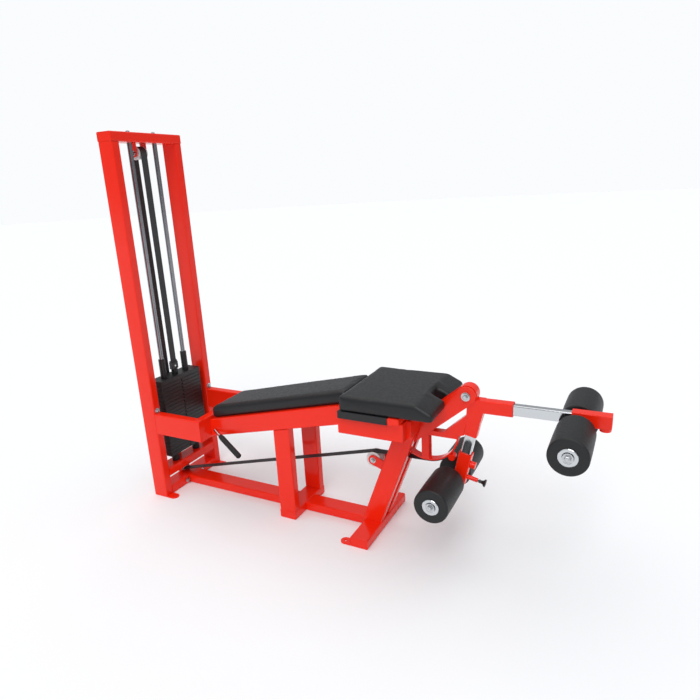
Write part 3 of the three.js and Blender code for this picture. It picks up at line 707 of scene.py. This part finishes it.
def nodes_tree(name, inputs):
    """An empty Geometry Nodes tree with one geometry output and the named inputs given."""
    tree = bpy.data.node_groups.new(name, "GeometryNodeTree")
    tree.interface.new_socket("Geometry", in_out="OUTPUT", socket_type="NodeSocketGeometry")
    for label, (kind, value) in inputs.items():
        socket = tree.interface.new_socket(label, in_out="INPUT", socket_type=kind)
        if value is not None:
            socket.default_value = value
    start = add(tree, "NodeGroupInput")
    end = add(tree, "NodeGroupOutput")
    return tree, start.outputs, end.inputs["Geometry"]


def close_tree(tree, geometry, end, material):
    """Ends a tree in real geometry with its material on it."""
    real = add(tree, "GeometryNodeRealizeInstances", links={"Geometry": geometry})
    links = {"Geometry": real.outputs["Geometry"], "Material": material}
    dressed = add(tree, "GeometryNodeSetMaterial", links=links)
    tree.links.new(dressed.outputs["Geometry"], end)


def grown(piece, tree, values):
    """Runs a tree on a piece with the values given for its inputs, and keeps the plain mesh."""
    modifier = piece.modifiers.new("grow", "NODES")
    modifier.node_group = tree
    for item in tree.interface.items_tree:
        if item.item_type == "SOCKET" and item.in_out == "INPUT" and item.name in values:
            modifier[item.identifier] = values[item.name]
    return settled(piece)


def stack_tree():
    inputs = {
        "Plate": ("NodeSocketObject", None),
        "Count": ("NodeSocketInt", 20),
        "Pitch": ("NodeSocketFloat", 0.018),
    }
    tree, given, end = nodes_tree("plate_stack", inputs)
    step = add(tree, "ShaderNodeCombineXYZ", links={"Z": given["Pitch"]})
    links = {"Count": given["Count"], "Offset": step.outputs["Vector"]}
    line = add(tree, "GeometryNodeMeshLine", links=links)
    plate = add(tree, "GeometryNodeObjectInfo", {"transform_space": "ORIGINAL"}, {"Object": given["Plate"]})
    links = {"Points": line.outputs["Mesh"], "Instance": plate.outputs["Geometry"]}
    placed = add(tree, "GeometryNodeInstanceOnPoints", links=links)
    close_tree(tree, placed.outputs["Instances"], end, finish["black_iron"])
    return tree


def build_stack():
    plate = one_plate()
    stack = link("weight_stack", bpy.data.meshes.new("weight_stack"))
    grown(stack, stack_tree(), {"Plate": plate, "Count": plate_count, "Pitch": plate_pitch})
    bpy.data.objects.remove(plate)
    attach(stack, "frame")
    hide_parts(*plate_nodes)
    print("stack of", plate_count, "plates,", len(stack.data.polygons), "faces")


build_stack()

# %% [markdown]
# ## Bolts, nuts and end caps
# The same zinc bolt head and washer appears at every joint, so a tree puts one on each point of a
# small mesh, turned to the direction that the point stores. Tube ends are closed by welded plates.

# %% Scatter the fasteners


def bolt_tree():
    """A washer, a six-sided head and its chamfered crown on every point, at the point's own size."""
    inputs = {
        "Geometry": ("NodeSocketGeometry", None),
        "Head": ("NodeSocketFloat", 1.0),
        "Washer": ("NodeSocketFloat", 1.55),
        "Height": ("NodeSocketFloat", 0.75),
    }
    tree, given, end = nodes_tree("bolt_heads", inputs)

    def disc(sides, radius, height, lift, top=None):
        links = {"Vertices": sides, "Depth": height}
        if top is None:
            links["Radius"] = radius
            made = add(tree, "GeometryNodeMeshCylinder", links=links)
        else:
            links.update({"Radius Bottom": radius, "Radius Top": top})
            made = add(tree, "GeometryNodeMeshCone", links=links)
        links = {"Geometry": made.outputs["Mesh"], "Translation": (0, 0, lift)}
        return add(tree, "GeometryNodeTransform", links=links).outputs["Geometry"]

    parts = add(tree, "GeometryNodeJoinGeometry")
    for piece in (
        disc(32, given["Washer"], 0.16, 0.08),
        disc(6, given["Head"], given["Height"], 0.5),
        disc(6, 0.98, 0.14, 0.87, top=0.8),
        disc(20, 0.52, 0.3, 0.98),
    ):
        tree.links.new(piece, parts.inputs["Geometry"])
    aim = add(tree, "GeometryNodeInputNamedAttribute", {"data_type": "FLOAT_VECTOR"}, {"Name": "aim"})
    size = add(tree, "GeometryNodeInputNamedAttribute", {"data_type": "FLOAT"}, {"Name": "size"})
    links = {"Vector": aim.outputs["Attribute"]}
    turned = add(tree, "FunctionNodeAlignRotationToVector", {"axis": "Z"}, links)
    links = {
        "Points": given["Geometry"],
        "Instance": parts.outputs["Geometry"],
        "Rotation": turned.outputs["Rotation"],
        "Scale": size.outputs["Attribute"],
    }
    placed = add(tree, "GeometryNodeInstanceOnPoints", links=links)
    close_tree(tree, placed.outputs["Instances"], end, finish["zinc"])
    return tree


def place_bolts(name, body, places):
    """Bolts for one body. A place is a point, the direction it faces and its head's radius in mm."""
    mesh = bpy.data.meshes.new(name)
    mesh.from_pydata([p[0] for p in places], [], [])
    aim = mesh.attributes.new("aim", "FLOAT_VECTOR", "POINT")
    aim.data.foreach_set("vector", [v for p in places for v in p[1]])
    size = mesh.attributes.new("size", "FLOAT", "POINT")
    size.data.foreach_set("value", [p[2] * MM for p in places])
    piece = grown(link(name, mesh), heads, {})
    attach(piece, body)
    return piece


heads = bolt_tree()
NEAR, FAR, FRONT, UP = (0, -1, 0), (0, 1, 0), (1, 0, 0), (0, 0, 1)


def box_middle(node):
    low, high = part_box(node)
    return (low + high) / 2


upright_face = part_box("tower_base_beam")[1].x
cage_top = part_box("cage_side_beam_near")[1].z
beam_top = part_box("tower_top_beam")[1].z
idler = box_middle("idler_pulley")
pivot = box_middle("pivot_shaft")
pivot_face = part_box("pivot_shaft")[1].y
top_wheel = box_middle("top_pulley")
low_wheel = box_middle("bottom_pulley")


def both_sides(x, y, z, size):
    """A bolt on each outer side of a plane of symmetry."""
    return [(Vector((x, -y, z)), NEAR, size), (Vector((x, y, z)), FAR, size)]


frame_bolts = []
for side in (-1, 1):
    frame_bolts.append((Vector((upright_face, side * 0.180, cage_top + 0.011)), FRONT, 9))
    frame_bolts.append((Vector((upright_face, side * 0.052, 0.020)), FRONT, 8.5))
    frame_bolts.append((Vector((rod_x, side * rod_y, beam_top)), UP, 8.5))
frame_bolts += both_sides(idler.x, 0.0285, idler.z, 8)
frame_bolts += both_sides(pivot.x, pivot_face, pivot.z, 9.5)
frame_bolts += both_sides(top_wheel.x, 0.0315, top_wheel.z, 7)
frame_bolts += both_sides(low_wheel.x, 0.0285, low_wheel.z, 6)
place_bolts("frame_bolts", "frame", frame_bolts)
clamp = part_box("selector_stem")
place_bolts("clamp_bolts", "stack_head", [
    (Vector((clamp[1].x - 0.010, 0.0, clamp[1].z - 0.026)), FRONT, 5.5),
])
for which in ("upper", "lower"):
    axle_low, axle_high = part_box(which + "_roller_near")
    middle = (axle_low + axle_high) / 2
    reach = -axle_low.y - 0.0004
    place_bolts(which + "_axle_nuts", which + "_bracket", both_sides(middle.x, reach, middle.z, 11))
print(len(frame_bolts), "bolts on the frame")

# %% [markdown]
# The open ends of the welded tubes are closed by thin plates set into them. Each is a small slab
# with its edges rounded by the paint.

# %% Close the tube ends


def slab(work, low, high):
    """Adds a rounded slab between two corners, in metres."""
    made = bmesh.ops.create_cube(work, size=1)["verts"]
    for vert in made:
        share = [vert.co[i] + 0.5 for i in range(3)]
        vert.co = Vector(low[i] + share[i] * (high[i] - low[i]) for i in range(3))
    edges = {e for v in made for e in v.link_edges}
    bmesh.ops.bevel(work, geom=list(edges), offset=0.0009, segments=2, profile=0.5, affect="EDGES")


def end_caps(name, body, slabs, slot="red_paint"):
    work = bmesh.new()
    for low, high in slabs:
        slab(work, low, high)
    mesh = bpy.data.meshes.new(name)
    work.to_mesh(mesh)
    work.free()
    piece = smooth_faces(link(name, mesh))
    piece.data.materials.append(finish[slot])
    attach(piece, body)
    return piece


CAP = 0.003  # metres, the thickness of an end plate
CAP_INSET = 0.0032  # metres from the tube's outside to the plate's edge


def across_caps(node, inset=CAP_INSET, z0=None, x_range=None):
    """Caps for both Y ends of a tube that lies across the machine."""
    low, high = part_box(node)
    x0, x1 = x_range or (low.x, high.x)
    bottom = low.z if z0 is None else z0
    made = []
    for y0, y1 in ((low.y, low.y + CAP), (high.y - CAP, high.y)):
        made.append(((x0 + inset, y0, bottom + inset), (x1 - inset, y1, high.z - inset)))
    return made


top_low, top_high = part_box("tower_top_beam")
foot_low, foot_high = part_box("front_foot")
caps = across_caps("tower_top_beam", z0=top_high.z - 0.040)
caps += across_caps("mid_foot")
caps += across_caps("seat_cross_tube")
caps += across_caps("seat_bearer")
caps += across_caps("front_foot", x_range=(foot_high.x - 0.080, foot_high.x))
for side in ("near", "far"):
    low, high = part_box("cage_side_beam_" + side)
    inset = CAP_INSET
    caps.append(((high.x - CAP, low.y + inset, low.z + inset), (high.x, high.y - inset, high.z - inset)))
    low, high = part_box("seat_rail_" + side)
    for x0, x1 in ((low.x, low.x + CAP), (high.x - CAP, high.x)):
        caps.append(((x0, low.y + inset, low.z + inset), (x1, high.y - inset, high.z - inset)))
end_caps("tube_end_caps", "frame", caps)
print(len(caps), "end caps")

# %% [markdown]
# ## Belt
# One flat belt runs from the weights over three wheels to the cam. The strand above the weights and
# the lead to the cam change length as the lever swings, so those two are cut into short lengths.

# %% Dress the belt


def belt_piece(node, cuts_axis=None, cuts=24):
    """A smooth copy of a belt node, cut across at even steps where it has to stretch."""
    work = merged_copy(node)
    low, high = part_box(node)
    if cuts_axis is not None:
        for i in range(1, cuts):
            place = low.copy()
            place[cuts_axis] += (high[cuts_axis] - low[cuts_axis]) * i / cuts
            normal = Vector((0, 0, 0))
            normal[cuts_axis] = 1
            everything = work.verts[:] + work.edges[:] + work.faces[:]
            bmesh.ops.bisect_plane(work, geom=everything, plane_co=place, plane_no=normal)
    mesh = bpy.data.meshes.new(node + "_strap")
    work.to_mesh(mesh)
    work.free()
    piece = smooth_faces(link(node + "_strap", mesh), 40)
    piece.data.materials.append(finish["belt_webbing"])
    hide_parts(node)
    return piece, low, high


for name in ("belt_run", "belt_cam_wrap"):
    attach(belt_piece(name)[0], node_body[name])
strand, low, high = belt_piece("belt_front_strand", 2)
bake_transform(strand)
lead, low, high = belt_piece("belt_lead", 0)
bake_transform(lead)
print("belt dressed")

# %% [markdown]
# ## Rubber parts
# The hand grips are rubber sleeves with a collar and fine rings, pushed over a bent bar. The stack's
# buffers are plain rubber rings round the guide rods. Both are spun from a profile along their axis.

# %% Grips and buffers


def spun_along(name, profile, start, direction, steps=40):
    """Spins [radius, distance] points in millimetres about a line into a closed mesh."""
    work = bmesh.new()
    along = Vector(direction).normalized()
    side = along.orthogonal().normalized()
    ring = [work.verts.new(start + side * r * MM + along * d * MM) for r, d in profile]
    edges = [work.edges.new(pair) for pair in zip(ring, ring[1:])]
    bmesh.ops.spin(
        work, geom=ring + edges, cent=start, axis=along, angle=2 * math.pi, steps=steps
    )
    bmesh.ops.remove_doubles(work, verts=work.verts, dist=1e-6)
    bmesh.ops.recalc_face_normals(work, faces=work.faces)
    mesh = bpy.data.meshes.new(name)
    work.to_mesh(mesh)
    work.free()
    return smooth_faces(link(name, mesh), 32)


GRIP_BAR_LENGTH = 60  # mm of bare bar before the sleeve begins


def grip_line(node):
    """Start, direction and length in millimetres of a grip, from its solid's outermost rings."""
    low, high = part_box(node)
    points = points_of(frame["nodes"][node].data)
    slim, thick = 7.0 * MM, 12.0 * MM
    inner = points[points[:, 0] < low.x + slim * 1.6].mean(axis=0)
    outer = points[points[:, 0] > high.x - thick * 0.9].mean(axis=0)
    line = Vector(outer.tolist()) - Vector(inner.tolist())
    return Vector(inner.tolist()), line.normalized(), line.length / MM


def build_grip(side):
    node = "hand_grip_" + side
    start, along, length = grip_line(node)
    bar = [(0, 0), (7, 0), (7, GRIP_BAR_LENGTH), (0, GRIP_BAR_LENGTH)]
    stub = spun_along(node + "_bar", bar, start, along, 28)
    stub.data.materials.append(finish["chrome"])
    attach(stub, "frame")
    a, b = 50, length
    sleeve = [(0, a), (8.5, a), (9.5, a + 1.5), (11.5, a + 14), (12, a + 17)]
    rings = np.arange(a + 24, b - 14, 6.0)
    for y in rings:
        sleeve += [(12, y), (11.3, y + 0.8), (11.3, y + 1.6), (12, y + 2.4)]
    sleeve += [(12, b - 3), (11, b - 0.8), (9.6, b), (7.4, b), (6.8, b - 1.2), (0, b - 1.2)]
    grip = spun_along(node + "_sleeve", sleeve, start, along)
    finished(grip, node, "black_rubber")


for side in ("near", "far"):
    build_grip(side)
    low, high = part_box("stack_buffer_" + side)
    middle = (low + high) / 2
    tall = (high.z - low.z) / MM
    ring = [(10.6, 0), (16.6, 0), (18, 1.5), (18, tall * 0.36), (16.8, tall * 0.5), (18, tall * 0.64)]
    ring += [(18, tall - 1.5), (16.6, tall), (10.6, tall), (10.6, 0)]
    foot = Vector((middle.x, middle.y, low.z))
    buffer = spun_along("stack_buffer_" + side + "_ring", ring, foot, (0, 0, 1), 36)
    finished(buffer, "stack_buffer_" + side)
print("grips and buffers made")
